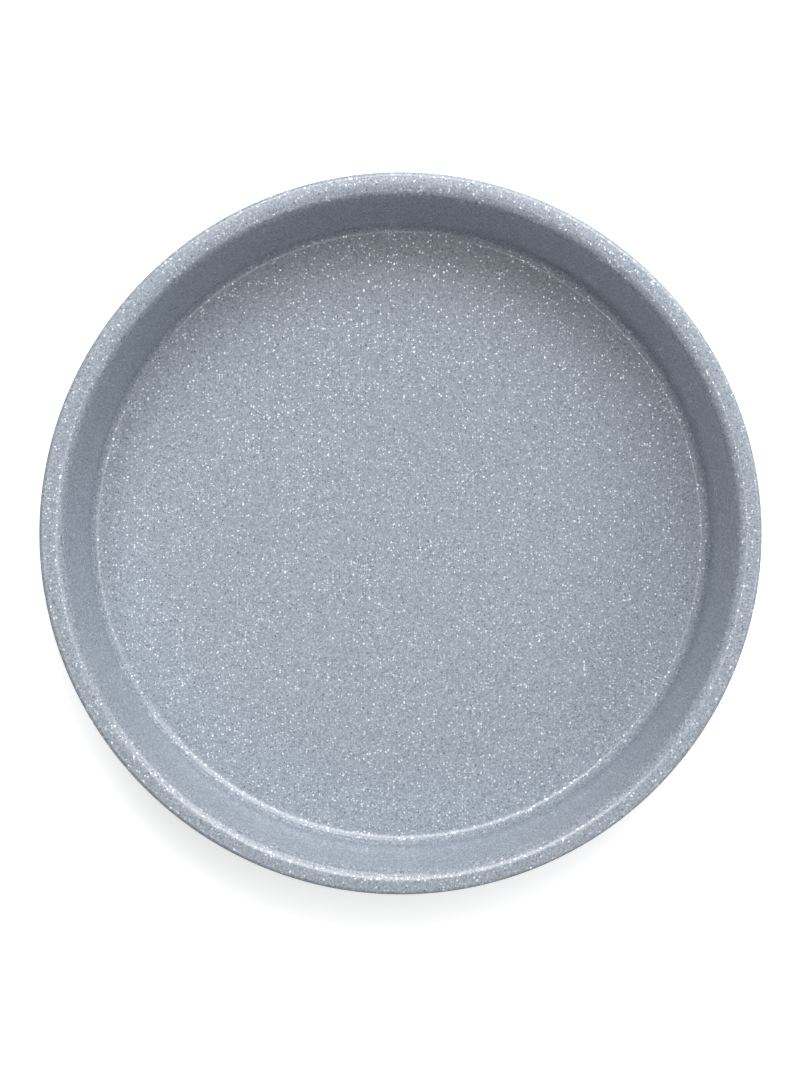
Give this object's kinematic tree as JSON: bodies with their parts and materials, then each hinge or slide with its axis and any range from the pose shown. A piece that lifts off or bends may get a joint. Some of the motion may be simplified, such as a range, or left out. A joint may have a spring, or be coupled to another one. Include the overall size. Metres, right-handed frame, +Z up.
{
  "type": "round baking pan",
  "caption": "Round one-piece baking pan with a flat floor, leaning wall and flat rim rolled over a thin wire, in a speckled pale blue-grey non-stick coat.",
  "frame": {"origin": "centre of the flat face that the pan stands on", "axes": "+Z up along the pan's axis, out of its mouth; X and Y lie in the standing face"},
  "size_m": [0.26, 0.26, 0.05],
  "materials": {
    "carbon_steel": "satin",
    "plated_wire": "satin",
    "speckled_coat": "satin",
    "back_coat": "satin"
  },
  "bodies": {
    "root": {"steel_shell": "carbon_steel", "rim_wire": "plated_wire", "inner_coating": "speckled_coat", "outer_coating": "back_coat"}
  },
  "joints": []
}
